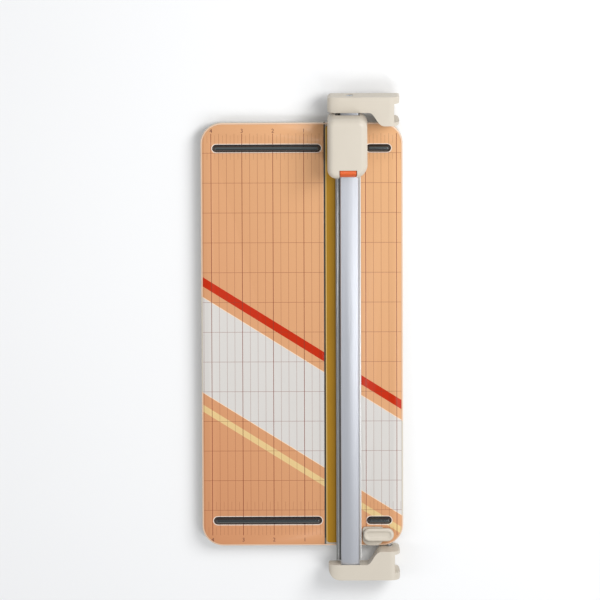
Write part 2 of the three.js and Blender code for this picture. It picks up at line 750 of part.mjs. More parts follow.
/** A coil spring over a span of Z, about the local Z axis. */
function coilSpring(radius, wire, z, turns) {
  const path = new Helix(radius, high(z) - low(z) - 2 * wire, turns);
  const section = new THREE.Shape().absarc(0, 0, wire, 0, 2 * Math.PI);
  const coil = new THREE.ExtrudeGeometry(section, {
    steps: turns * 10,
    curveSegments: 2,
    bevelEnabled: false,
    extrudePath: path,
  });
  return coil.translate(0, 0, low(z) + wire);
}

function carriage() {
  const parts = [mesh("carriage_chassis", chassis(), CREAM())];
  for (const [end, side] of ENDS) {
    const pad = block([RAIL_X - 6.6, RAIL_X + 6.6], [-5, 5], [RAIL_TOP + GAP, CHASSIS_CEILING]);
    parts.push(mesh(`glide_pad_${end}`, pad, NATURAL(), [0, side * 16, 0]));
    const spring = coilSpring(SPRING_RADIUS, 0.45, [CHASSIS_TOP + 0.1, SPRING_TOP], 5);
    parts.push(mesh(`press_spring_${end}`, spring, STEEL(), [SPRING_X, side * SPRING_OFFSET, 0]));
  }
  return group([0, CARRIAGE_Y, 0], parts);
}

// ---------------------------------------------------------------- press cap and blade

/** The pressed cap: a shell open below, cut away over the rail and round the release button. */
function pressCap() {
  const y = [-CAP_HALF_LENGTH, CAP_HALF_LENGTH];
  const outer = prism(
    roundedRectangle(CAP_X, y, CAP_REAR_CORNER, CAP_FRONT_CORNER),
    [CAP_SKIRT - CAP_EDGE, CAP_TOP],
    CAP_EDGE,
    5,
    4,
  );
  const insideX = inset(CAP_X, CAP_WALL);
  const insideY = inset(y, CAP_WALL);
  const inner = prism(
    roundedRectangle(insideX, insideY, CAP_REAR_CORNER - CAP_WALL, CAP_FRONT_CORNER - CAP_WALL),
    [CAP_SKIRT - 12, CAP_TOP - CAP_WALL],
    CAP_EDGE - CAP_WALL,
    4,
    3,
  );
  const shell = cut(outer, block([0, 80], [-40, 40], [0, CAP_SKIRT]), inner);
  const shelfY = [1.2 - CAP_HALF_LENGTH, BUTTON_INNER + 0.6];
  const shelf = block([30.4, 46], shelfY, [SHELF_TOP - SHELF_THICKNESS, SHELF_TOP]);
  const boss = [low(CAP_X) + 1.4, low(HOLDER_X) - 0.1];
  const inside = [-1, 1].flatMap((side) => [
    bar("z", SPIGOT_RADIUS, [41.8, CAP_TOP - 1], [SPRING_X, side * SPRING_OFFSET], 16),
    block([50.7, 52.9], [side * (CATCH_Y - 1.3), side * (CATCH_Y + 1.3)], [27.2, 28.5]),
    bar("x", 2.4, boss, [side * HOLDER_SCREW_Y, HOLDER_SCREW_Z], 12),
  ]);
  const pilots = [-1, 1].map((side) =>
    bar("x", 1, [22.2, 25], [side * HOLDER_SCREW_Y, HOLDER_SCREW_Z], 12),
  );
  return cut(
    join(shell, shelf, ...inside),
    block([27.5, 48.2], [-40, 40], [0, 31.6]),
    block([48, 80], [-40, 40], [0, CAP_RIGHT_SKIRT]),
    block([low(BUTTON_X) - GAP, high(BUTTON_X) + GAP], [-40, BUTTON_INNER], [SHELF_TOP, 50]),
    ...pilots,
  );
}

/** The blade's side plate, screwed to two bosses inside the cap. */
function bladeHolder() {
  const through = [20, 30];
  const profile = outline([
    [-13.6, 43.5, 1.5],
    [-13.6, 37, 4],
    [-8, 19.5, 5],
    [8, 19.5, 5],
    [13.6, 37, 4],
    [13.6, 43.5, 1.5],
  ]);
  const screwHoles = [-1, 1].map((side) =>
    bar("x", 1.1, through, [side * HOLDER_SCREW_Y, HOLDER_SCREW_Z], 12),
  );
  return cut(alongX(profile, HOLDER_X), bar("x", 1.85, through, [0, BLADE_Z], 20), ...screwHoles);
}

/** The stub axle about X, with its head against the outer side of the holder. */
function bladeAxle() {
  const head = low(HOLDER_X) - 0.05;
  const tip = BLADE_X + 0.7;
  return turnedAboutX(16, [
    [0, head - 1],
    [3.2, head - 1],
    [3.2, head],
    [1.75, head],
    [1.75, tip],
    [0, tip],
  ]);
}

/** The round blade about X, ground on both sides to its edge. */
function blade() {
  const half = BLADE_THICKNESS / 2;
  const ground = BLADE_RADIUS - 1.4;
  const bore = 2.7;
  return turnedAboutX(36, [
    [bore, -half],
    [ground, -half],
    [BLADE_RADIUS, -0.03],
    [BLADE_RADIUS, 0.03],
    [ground, half],
    [bore, half],
    [bore, -half],
  ]);
}

/** The spool that clamps the blade and turns on the axle. */
const bladeHub = () =>
  turnedAboutX(16, [
    [1.9, -0.85],
    [4.6, -0.85],
    [4.6, -0.3],
    [2.55, -0.3],
    [2.55, 0.3],
    [4.6, 0.3],
    [4.6, 0.6],
    [1.9, 0.6],
    [1.9, -0.85],
  ]);

function releaseButton() {
  const profile = outline([
    [BUTTON_FRONT, BUTTON_UNDERSIDE],
    [BUTTON_INNER - GAP, BUTTON_UNDERSIDE],
    [BUTTON_INNER - GAP, BUTTON_TOP, 1],
    [BUTTON_FRONT + 3.4, BUTTON_TOP, 1.8],
    [BUTTON_FRONT, 42.2, 1.2],
  ]);
  return alongX(profile, BUTTON_X, 0.5);
}

const buttonSpring = () => coilSpring(2.2, 0.25, [SHELF_TOP + 0.1, BUTTON_UNDERSIDE - 0.1], 4);

function press() {
  const parts = [
    mesh("press_cap", pressCap(), CREAM()),
    mesh("blade_holder", bladeHolder(), NATURAL()),
    mesh("blade_axle", bladeAxle(), STEEL(), [0, 0, BLADE_Z]),
    mesh("blade", blade(), STEEL(), [BLADE_X, 0, BLADE_Z]),
    mesh("blade_hub", bladeHub(), NATURAL(), [BLADE_X, 0, BLADE_Z]),
    mesh("release_button", releaseButton(), ORANGE()),
    mesh("button_spring", buttonSpring(), STEEL(), [middle(BUTTON_X), BUTTON_SPRING_Y, 0]),
  ];
  for (const [end, side] of ENDS) {
    const fastener = mesh(`holder_screw_${end}`, screw(1.9, 0.7, 0.9, 4.2, false), STEEL());
    fastener.position.set(high(HOLDER_X) + 0.85, side * HOLDER_SCREW_Y, HOLDER_SCREW_Z);
    fastener.rotation.y = -Math.PI / 2;
    parts.push(fastener);
  }
  return group([0, CARRIAGE_Y, 0], parts);
}

// ---------------------------------------------------------------- assembly

const trimmer = new THREE.Group();
trimmer.name = "rotary_paper_trimmer";
trimmer.add(base());
trimmer.add(mesh("latch_button", latchButton(), CREAM()));
trimmer.add(railArm());
trimmer.add(carriage());
trimmer.add(press());

export default trimmer;
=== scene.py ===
"""Looks of a portable rotary paper trimmer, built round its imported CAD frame.

Metres, +Z up, rail along Y.
"""

import json
import math

import bpy
from mathutils import Matrix, Vector


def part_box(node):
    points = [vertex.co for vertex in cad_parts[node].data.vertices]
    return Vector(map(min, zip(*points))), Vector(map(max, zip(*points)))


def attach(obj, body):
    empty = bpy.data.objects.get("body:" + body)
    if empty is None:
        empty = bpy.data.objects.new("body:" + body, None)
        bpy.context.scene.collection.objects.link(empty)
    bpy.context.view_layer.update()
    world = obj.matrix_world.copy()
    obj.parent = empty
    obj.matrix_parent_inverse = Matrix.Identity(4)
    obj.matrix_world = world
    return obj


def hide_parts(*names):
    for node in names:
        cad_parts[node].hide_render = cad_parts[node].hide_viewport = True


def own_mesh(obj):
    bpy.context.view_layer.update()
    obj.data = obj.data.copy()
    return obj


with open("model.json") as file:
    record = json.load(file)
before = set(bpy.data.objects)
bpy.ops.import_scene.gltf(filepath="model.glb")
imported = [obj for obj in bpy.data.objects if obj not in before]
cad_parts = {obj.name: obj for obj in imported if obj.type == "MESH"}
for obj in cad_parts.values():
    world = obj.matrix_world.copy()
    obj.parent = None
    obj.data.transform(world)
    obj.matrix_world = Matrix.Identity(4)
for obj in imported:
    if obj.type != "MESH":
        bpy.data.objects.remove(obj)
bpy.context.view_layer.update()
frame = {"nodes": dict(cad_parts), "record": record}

MM = 0.001
INCH = 25.4 * MM

NODES = frame["nodes"]
SLOT_OF = {row["node"]: row["material_slot"] for row in frame["record"]["subparts"]}
BODY_OF = {node: body for body, names in frame["record"]["behaviour"]["bodies"].items() for node in names}


def middle_of(node):
    low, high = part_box(node)
    return (low + high) / 2


DECK_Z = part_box("deck_left")[1].z
CUT_X = middle_of("blade").x
RAIL_X = middle_of("rail_extrusion").x
GUIDES = [name for name in NODES if name.startswith("guide_bar")]

# The ruling starts at the 0 inch line across the bed, and its vertical lines count from the cut.
ZERO_Y = 154.95 * MM
RULED_INCHES = 12

# ---------------------------------------------------------------- colours, as displayed, 0 to 255


def linear(red, green, blue):
    """A displayed colour as the linear RGBA that shaders take."""

    def channel(value):
        share = value / 255
        return share / 12.92 if share <= 0.04045 else ((share + 0.055) / 1.055) ** 2.4

    return (channel(red), channel(green), channel(blue), 1.0)


def shade(color, factor):
    return (color[0] * factor, color[1] * factor, color[2] * factor, 1.0)


CREAM = linear(202, 193, 178)
PEACH = linear(218, 168, 122)
PEACH_IN_PAINTED_SHADE = linear(200, 138, 98)
RIM_PEACH = linear(232, 190, 156)
OFF_WHITE = linear(208, 204, 199)
RED = linear(186, 39, 1)
LINE_RED = linear(124, 54, 36)
NUMERAL_INK = linear(96, 34, 22)
PALE_YELLOW = linear(226, 208, 146)
HALO = linear(236, 208, 178)
RING_WHITE = linear(240, 234, 226)
OCHRE = linear(174, 128, 30)
OCHRE_EDGE_HIGHLIGHT = linear(226, 196, 128)
ORANGE = linear(214, 88, 10)
BLACK = linear(20, 22, 26)
SHEEN_AND_DUST_GREY = linear(68, 76, 77)
GROOVE_SHADE = linear(22, 17, 13)
RUBBER = linear(38, 38, 40)
STEEL = linear(196, 199, 204)
ALUMINIUM = linear(198, 200, 206)
SMOKE = linear(176, 176, 174)
STRIP_EDGE_HIGHLIGHT = linear(252, 252, 250)
RAIL_FOOT_SHADE = linear(70, 68, 66)
NATURAL = linear(232, 229, 219)
FLOOR = linear(238, 238, 238)


# ---------------------------------------------------------------- shader building


class Field:
    """A number that varies over a surface. Arithmetic on it adds Math nodes to its tree."""

    def __init__(self, graph, socket):
        self.graph = graph
        self.socket = socket

    def math(self, operation, *others):
        node = self.graph.tree.nodes.new("ShaderNodeMath")
        node.operation = operation
        for slot, value in zip(node.inputs, (self, *others)):
            self.graph.feed(slot, value)
        return Field(self.graph, node.outputs[0])

    def __add__(self, other):
        return self.math("ADD", other)

    def __sub__(self, other):
        return self.math("SUBTRACT", other)

    def __mul__(self, other):
        return self.math("MULTIPLY", other)

    def __truediv__(self, other):
        return self.math("DIVIDE", other)

    def below(self, other):
        return self.math("LESS_THAN", other)

    def above(self, other):
        return self.math("GREATER_THAN", other)

    def absolute(self):
        return self.math("ABSOLUTE")

    def most(self, other):
        return self.math("MAXIMUM", other)

    def least(self, other):
        return self.math("MINIMUM", other)

    def root(self):
        return self.math("SQRT")

    def sine(self):
        return self.math("SINE")

    def between(self, low, high):
        return self.above(low) * self.below(high)

    def nearest(self, step):
        """Its signed distance from the nearest multiple of step."""
        return self - (self / step).math("ROUND") * step

    def spread(self, low, high):
        """From 0 to 1 taken to low to high."""
        return self * (high - low) + low


class Graph:
    """A Principled material and its node tree."""

    def __init__(self, name, color, roughness, metallic=0.0, **sockets):
        self.material = bpy.data.materials.new(name)
        self.material.use_nodes = True
        self.tree = self.material.node_tree
        self.shader = self.tree.nodes["Principled BSDF"]
        self.shader.inputs["Base Color"].default_value = color
        self.shader.inputs["Roughness"].default_value = roughness
        self.shader.inputs["Metallic"].default_value = metallic
        for socket, value in sockets.items():
            self.shader.inputs[socket.replace("_", " ")].default_value = value
        self.place = self.node("ShaderNodeTexCoord").outputs["Object"]
        split = self.node("ShaderNodeSeparateXYZ", Vector=self.place)
        self.x, self.y, self.z = (Field(self, out) for out in split.outputs)

    def feed(self, slot, value):
        if isinstance(value, Field):
            value = value.socket
        if isinstance(value, bpy.types.NodeSocket):
            self.tree.links.new(value, slot)
        else:
            slot.default_value = value

    def node(self, kind, settings=None, **inputs):
        made = self.tree.nodes.new(kind)
        for key, value in (settings or {}).items():
            setattr(made, key, value)
        for key, value in inputs.items():
            self.feed(made.inputs[key.replace("_", " ")], value)
        return made

    def set(self, socket, value):
        self.feed(self.shader.inputs[socket], value)

    def noise(self, scale, detail=2.0, stretch=(1, 1, 1)):
        """Noise from 0 to 1. Scale is features per metre, and stretch is per axis."""
        mapping = self.node("ShaderNodeMapping", {"vector_type": "POINT"}, Vector=self.place, Scale=stretch)
        made = self.node("ShaderNodeTexNoise", Vector=mapping.outputs[0], Scale=scale, Detail=detail)
        return Field(self, made.outputs[0])

    def mix(self, share, first, second):
        made = self.node("ShaderNodeMix", {"data_type": "RGBA", "clamp_factor": True})
        self.feed(made.inputs[0], share)
        self.feed(made.inputs[6], first)
        self.feed(made.inputs[7], second)
        return made.outputs[2]

    def bump(self, height, depth):
        """Raises the surface by height, from 0 to 1, times depth in metres."""
        made = self.node("ShaderNodeBump", Height=height, Distance=depth)
        made.inputs["Strength"].default_value = 1.0
        self.set("Normal", made.outputs[0])


# ---------------------------------------------------------------- materials


def plastic_graph(name, color, roughness, grain, gloss):
    """Moulded plastic: a fine spark-eroded grain, cloudy colour and rubbed, shinier patches."""
    graph = Graph(name, color, roughness, Coat_Weight=gloss, Coat_Roughness=0.15)
    tone = graph.mix(graph.noise(45, 3).spread(0.1, 0.9), shade(color, 0.95), shade(color, 1.03))
    tone = graph.mix(graph.noise(900).spread(0.0, 0.25), tone, shade(color, 0.9))
    graph.set("Base Color", tone)
    graph.set("Roughness", graph.noise(160, 4).spread(roughness - 0.1, roughness + 0.1))
    graph.bump(graph.noise(2600) * 0.7 + graph.noise(700) * 0.3, grain)
    return graph, tone


def moulded_plastic(name, color, roughness, grain=0.02 * MM, gloss=0.0):
    return plastic_graph(name, color, roughness, grain, gloss)[0].material


def tray_plastic(name):
    """The tray's cream, with the peach wash that the print carries over its thin rim and painted shade in
    the narrow groove beside the cutting strip.
    """
    graph, tone = plastic_graph(name, CREAM, 0.4, 0.02 * MM, 0.15)
    washed = graph.z.above(DECK_Z - 0.5 * MM) * peach_share(graph.x / MM, graph.y / MM)
    tone = graph.mix(washed * 0.75, tone, RIM_PEACH)
    # Painted shade in the narrow groove beside the cutting strip, where little light reaches.
    strip_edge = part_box("cutting_strip")[0].x
    groove = graph.x.between(strip_edge - 1.6 * MM, strip_edge)
    groove = groove * graph.z.between(10 * MM, DECK_Z - 0.2 * MM)
    graph.set("Base Color", graph.mix(groove * 0.85, tone, GROOVE_SHADE))
    return graph.material


def brushed_metal(name, color, roughness, stretch, depth=0.006 * MM):
    """Drawn or brushed metal: fine lines along the axis whose stretch is small."""
    graph = Graph(name, color, roughness, metallic=1.0, Anisotropic=0.4)
    lines = graph.noise(2200, 3, stretch)
    broad = graph.noise(240, 2, stretch)
    graph.set("Base Color", graph.mix(broad.spread(0.2, 0.8), shade(color, 0.92), shade(color, 1.04)))
    graph.set("Roughness", lines.spread(roughness - 0.07, roughness + 0.09))
    graph.bump(lines, depth)
    return graph.material


def anodised_rail(name):
    """Satin anodised aluminium with drawing lines along Y, a little dielectric so that its body shows."""
    graph = Graph(name, ALUMINIUM, 0.42, metallic=0.72, Anisotropic=0.3)
    lines = graph.noise(1500, 3, (1, 0.008, 1))
    broad = graph.noise(160, 2, (1, 0.02, 1))
    scuff = graph.noise(90, 4, (1, 0.3, 1))
    tone = graph.mix(broad.spread(0.1, 0.9), shade(ALUMINIUM, 0.9), shade(ALUMINIUM, 1.05))
    graph.set("Base Color", graph.mix(lines.spread(0.0, 0.3), tone, shade(ALUMINIUM, 0.8)))
    graph.set("Roughness", (lines * 0.6 + scuff * 0.4).spread(0.34, 0.5))
    graph.bump(lines, 0.008 * MM)
    return graph.material


def turned_steel(name, color, roughness, centre):
    """Ground steel with fine rings about an X axis through centre."""
    graph = Graph(name, color, roughness, metallic=1.0)
    dy = graph.y - centre.y
    dz = graph.z - centre.z
    radius = (dy * dy + dz * dz).root()
    ring = (radius * (2 * math.pi / (0.12 * MM))).sine() * 0.5 + 0.5
    rough = graph.noise(900, 3)
    graph.set("Base Color", graph.mix(rough, shade(color, 0.88), color))
    graph.set("Roughness", (ring * rough).spread(roughness - 0.06, roughness + 0.12))
    graph.bump(ring, 0.002 * MM)
    return graph.material


def rubber(name):
    graph = Graph(name, RUBBER, 0.8)
    grit = graph.noise(1400, 3)
    graph.set("Base Color", graph.mix(graph.noise(120, 3), shade(RUBBER, 0.75), shade(RUBBER, 1.3)))
    graph.set("Roughness", grit.spread(0.7, 0.92))
    graph.bump(grit, 0.05 * MM)
    return graph.material


def black_gloss(name):
    """Polished black plastic with a painted sheen on the outer half of its crest, faint dust and hairline
    scratches along X.
    """
    graph = Graph(name, BLACK, 0.16, Coat_Weight=0.6, Coat_Roughness=0.05)
    scratch = graph.noise(2600, 3, (0.05, 1, 1))
    # Painted sheen: the crest turns grey on its outer half, where it catches the light.
    crest = ((graph.z - (DECK_Z + 1.2 * MM)) / (0.8 * MM)).least(1).most(0)
    outward = (graph.y.absolute() - abs(middle_of(GUIDES[0]).y)) / (1.4 * MM) + 0.6
    crest_sheen = graph.mix(crest * outward.least(1).most(0.15), BLACK, SHEEN_AND_DUST_GREY)
    graph.set("Base Color", graph.mix(graph.noise(1500, 3).above(0.66) * 0.3, crest_sheen, shade(SHEEN_AND_DUST_GREY, 1.4)))
    graph.set("Roughness", scratch.spread(0.1, 0.28))
    graph.bump(scratch, 0.004 * MM)
    return graph.material


def clear_plastic(name):
    """Milky clear strip with long flow lines, painted highlights along its long edges and a painted shadow
    along the rail's foot.
    """
    graph = Graph(name, SMOKE, 0.14, Transmission_Weight=0.35, IOR=1.49)
    graph.set("Roughness", graph.noise(300, 3).spread(0.08, 0.22))
    left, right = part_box("hold_down_strip")[0].x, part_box("hold_down_strip")[1].x
    rail_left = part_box("rail_extrusion")[0].x
    tone = graph.mix(graph.noise(40, 3), shade(SMOKE, 0.94), shade(SMOKE, 1.06))
    # Painted highlights along the strip's long edges.
    edge_highlight = graph.x.between(left + 0.9 * MM, left + 2 * MM) + graph.x.above(right - 0.8 * MM)
    tone = graph.mix(edge_highlight, tone, STRIP_EDGE_HIGHLIGHT)
    # Painted shadow along the rail's foot, where the strip runs under it.
    rail_foot_shade = graph.x.between(rail_left - 0.9 * MM, rail_left)
    graph.set("Base Color", graph.mix(rail_foot_shade * 0.8, tone, RAIL_FOOT_SHADE))
    graph.bump(graph.noise(500, 2, (1, 0.05, 1)), 0.01 * MM)
    return graph.material


def cutting_mat(name):
    """The cutting strip: a grained mat with a dark scored line under the blade and a painted highlight
    along its left edge.
    """
    graph = Graph(name, OCHRE, 0.62, Specular_IOR_Level=0.2)
    grain = graph.noise(1600, 3)
    wander = graph.noise(60, 3, (0, 1, 0)) * (0.4 * MM)
    score = (graph.x - (CUT_X - 0.2 * MM) - wander).absolute().below(0.2 * MM)
    tone = graph.mix(graph.noise(30, 4), shade(OCHRE, 0.88), shade(OCHRE, 1.12))
    tone = graph.mix(grain.spread(0.0, 0.35), tone, shade(OCHRE, 0.7))
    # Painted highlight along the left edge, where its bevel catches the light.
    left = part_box("cutting_strip")[0].x
    tone = graph.mix(graph.x.below(left + 0.9 * MM) * 0.65, tone, OCHRE_EDGE_HIGHLIGHT)
    graph.set("Base Color", graph.mix(score * 0.5, tone, shade(OCHRE, 0.4)))
    graph.bump(grain * 0.5 - score * 0.5, 0.05 * MM)
    return graph.material


def floor_material():
    graph = Graph("floor", FLOOR, 0.6)
    graph.set("Base Color", graph.mix(graph.noise(6, 3), shade(FLOOR, 0.985), FLOOR))
    return graph.material


# The printed design is a plain sloping band and two stripes: ranges of y + SLOPE * x, in millimetres.
SLOPE = 0.645
BAND = (-101.5, -20.5)
RED_STRIPE = (-11, -3)
YELLOW_STRIPE = (-118, -112)
EDGE_HALO = 0.6
SLOT_RING = 0.95
# How far the ruling and its rows of eighth-inch ticks reach along Y, in millimetres.
RULED_Y = (-171.4, 171.5)
TICK_ROWS = [(163.5, 170), (149.5, 155.5), (-149.5, -142.6), (-171, -164.5)]


def across_band(x, y):
    return y + x * SLOPE


def peach_share(x, y):
    """1 where the peach ground is printed, on both sides of the band."""
    return across_band(x, y).between(*BAND) * -1 + 1


def printed_panel(name):
    """The printed panels: a band and two stripes under an inch ruling and a thin clear film."""
    film = {"Coat_Weight": 0.06, "Coat_Roughness": 0.12, "Specular_IOR_Level": 0.14}
    graph = Graph(name, OFF_WHITE, 0.32, **film)
    x, y = graph.x / MM, graph.y / MM

    def line(position, start, step, width):
        return (position - start).nearest(step).absolute().below(width / 2)

    ground = graph.mix(graph.noise(25, 3), shade(OFF_WHITE, 0.97), OFF_WHITE)
    # Painted shade: the peach ground darkens towards the left and the front, away from the key light.
    shaded_peach = graph.mix((y * -0.0015 - x * 0.003) + 0.45, PEACH, PEACH_IN_PAINTED_SHADE)
    across = across_band(x, y)
    halo = across.between(BAND[0] - EDGE_HALO, BAND[1] + EDGE_HALO)
    color = graph.mix(halo, shaded_peach, HALO)
    color = graph.mix(peach_share(x, y), ground, color)
    color = graph.mix(across.between(*YELLOW_STRIPE) * 0.65, color, PALE_YELLOW)
    color = graph.mix(across.between(*RED_STRIPE), color, RED)

    for node in GUIDES:
        low, high = (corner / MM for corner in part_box(node))
        radius = (high.y - low.y) / 2
        half = (high.x - low.x) / 2 - radius
        dx = ((x - (low.x + high.x) / 2).absolute() - half).most(0)
        dy = y - (low.y + high.y) / 2
        ring = (dx * dx + dy * dy).root().below(radius + SLOT_RING)
        color = graph.mix(ring * 0.65, color, RING_WHITE)

    inch = INCH / MM
    zero_x = CUT_X / MM
    zero_y = ZERO_Y / MM
    far_y = zero_y - RULED_INCHES * inch
    ruled = y.between(*RULED_Y)
    quarters = line(x, zero_x, inch / 4, 0.28) * ruled
    inches = line(x, zero_x, inch, 0.46) * ruled
    rows = line(y, zero_y, inch, 0.34) * y.between(far_y - 0.3, zero_y + 0.3)
    ticked = y.between(*TICK_ROWS[0])
    for row in TICK_ROWS[1:]:
        ticked = ticked + y.between(*row)
    eighths = line(x, zero_x, inch / 8, 0.22) * ticked
    marks = (quarters * 0.62).most(inches).most(rows * 0.68).most(eighths * 0.55)
    graph.set("Base Color", graph.mix(marks, color, LINE_RED))
    graph.set("Roughness", graph.noise(220, 4).spread(0.24, 0.4))
    graph.bump(graph.noise(1200, 3), 0.008 * MM)
    return graph.material


MATERIALS = {
    "cream_plastic": moulded_plastic("cream_plastic", CREAM, 0.42),
    "tray_plastic": tray_plastic("tray_plastic"),
    "printed_panel": printed_panel("printed_panel"),
    "ochre_strip": cutting_mat("ochre_strip"),
    "black_plastic": black_gloss("black_plastic"),
    "rubber": rubber("rubber"),
    "steel": brushed_metal("steel", STEEL, 0.3, (1, 1, 1)),
    "blade_steel": turned_steel("blade_steel", STEEL, 0.2, middle_of("blade")),
    "aluminium": anodised_rail("aluminium"),
    "clear_plastic": clear_plastic("clear_plastic"),
    "orange_plastic": moulded_plastic("orange_plastic", ORANGE, 0.34, gloss=0.3),
    "natural_plastic": moulded_plastic("natural_plastic", NATURAL, 0.4),
    "numeral_ink": moulded_plastic("numeral_ink", NUMERAL_INK, 0.5),
}


# ---------------------------------------------------------------- finishing pieces

EDGE_WIDTHS = {
    "base_tray": 0.5 * MM,
    "rail_extrusion": 0.3 * MM,
    "latch_guide": 0.5 * MM,
    "carriage_chassis": 0.4 * MM,
    "hold_down_strip": 0.2 * MM,
    "cutting_strip": 0.45 * MM,
}
SMALL_EDGE = 0.12 * MM


def round_edges(obj, width, angle=40, segments=3):
    edge = obj.modifiers.new("edges", "BEVEL")
    edge.width = width
    edge.segments = segments
    edge.limit_method = "ANGLE"
    edge.angle_limit = math.radians(angle)
    edge.harden_normals = True
    edge.use_clamp_overlap = True


def finish_cad_node(name, obj):
    """Gives a CAD node its material, smooth shading and small rounded edges."""
    slot = "tray_plastic" if name == "base_tray" else SLOT_OF[name]
    obj.data.materials.clear()
    obj.data.materials.append(MATERIALS[slot])
    for polygon in obj.data.polygons:
        polygon.use_smooth = True
    weld = obj.modifiers.new("weld", "WELD")
    weld.merge_threshold = 0.005 * MM
    flat = obj.modifiers.new("flat_faces", "DECIMATE")
    flat.decimate_type = "DISSOLVE"
    flat.angle_limit = math.radians(0.5)
    round_edges(obj, EDGE_WIDTHS.get(name, SMALL_EDGE))


for node_name, node_object in NODES.items():
    finish_cad_node(node_name, node_object)


def link(obj):
    bpy.context.scene.collection.objects.link(obj)
    return obj


def skin(name, rings):
    """A closed mesh object over rings of points, from the first ring's cap to the last one's."""
    count = len(rings[0])
    points = [tuple(point) for ring in rings for point in ring]
    faces = [tuple(reversed(range(count)))]
    for row in range(len(rings) - 1):
        low, high = row * count, (row + 1) * count
        for i in range(count):
            j = (i + 1) % count
            faces.append((low + i, low + j, high + j, high + i))
    faces.append(tuple(range(len(points) - count, len(points))))
    mesh = bpy.data.meshes.new(name)
    mesh.from_pydata(points, [], faces)
    mesh.polygons.foreach_set("use_smooth", [True] * len(faces))
    return link(bpy.data.objects.new(name, mesh))


def carve(obj, cutter, operation="DIFFERENCE"):
    """Cuts obj with cutter for good, and removes cutter."""
    change = obj.modifiers.new("carve", "BOOLEAN")
    change.operation = operation
    change.object = cutter
    change.solver = "EXACT"
    bpy.context.view_layer.update()
    carved = bpy.data.meshes.new_from_object(obj.evaluated_get(bpy.context.evaluated_depsgraph_get()))
    obj.modifiers.clear()
    obj.data = carved
    carved.polygons.foreach_set("use_smooth", [True] * len(carved.polygons))
    bpy.data.objects.remove(cutter)


def brick(low, high):
    """A box to cut with."""
    x, y, z = zip(low, high)
    rings = [[(x[0], y[0], h), (x[1], y[0], h), (x[1], y[1], h), (x[0], y[1], h)] for h in z]
    return skin("cutter", rings)


def rod(start, end, radius, sides=40):
    """A round bar between two points, to cut or join with."""
    start, end = Vector(start), Vector(end)
    across = (end - start).orthogonal().normalized() * radius
    up = (end - start).normalized().cross(across)
    turns = [2 * math.pi * i / sides for i in range(sides)]
    outline = [across * math.cos(turn) + up * math.sin(turn) for turn in turns]
    return skin("rod", [[at + offset for offset in outline] for at in (start, end)])


def stand_for(obj, node):
    """obj is shown in place of a CAD node, on its body and in its finish."""
    obj.data.materials.clear()
    obj.data.materials.append(MATERIALS[SLOT_OF[node]])
    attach(obj, BODY_OF[node])
    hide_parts(node)


def corner_arc(centre, radius, start, steps):
    """Points of a quarter circle that starts at a quarter turn number."""
    for i in range(steps + 1):
        turn = (start + i / steps) * math.pi / 2
        yield centre[0] + radius * math.cos(turn), centre[1] + radius * math.sin(turn)


def pillow_ring(low, high, radii, z, inset=0.0, bulge=0.0, steps=10):
    """A rectangle drawn in by inset and bowed by bulge. Its corner radii start at the rear right."""
    x0, y0, x1, y1 = low[0] + inset, low[1] + inset, high[0] - inset, high[1] - inset
    middle_x, middle_y = (x0 + x1) / 2, (y0 + y1) / 2
    half = (high[1] - low[1]) / 2
    signs = [(1, 1), (-1, 1), (-1, -1), (1, -1)]
    ring = []
    for start, ((sx, sy), radius) in enumerate(zip(signs, radii)):
        r = max(radius - inset, 0.4 * MM)
        centre = ((x1 - r) if sx > 0 else (x0 + r), (y1 - r) if sy > 0 else (y0 + r))
        for x, y in corner_arc(centre, r, start, steps):
            bow = 1 - bulge * ((y - middle_y) / half) ** 2
            ring.append((middle_x + (x - middle_x) * bow, y, z))
    return ring


def edge_steps(edge, steps):
    """(inset, drop) pairs round a quarter-circle edge, from the upright side to the flat top."""
    for i in range(steps + 1):
        turn = i / steps * math.pi / 2
        yield edge * (1 - math.cos(turn)), edge * (1 - math.sin(turn))


# ---------------------------------------------------------------- press cap

CAP_WALL = 2 * MM
CAP_EDGE = 5.5 * MM
# Corner radii from the rear right corner round, against the clock.
CAP_CORNERS = [7.5 * MM, 6 * MM, 7 * MM, 11 * MM]
CAP_BULGE = 0.06


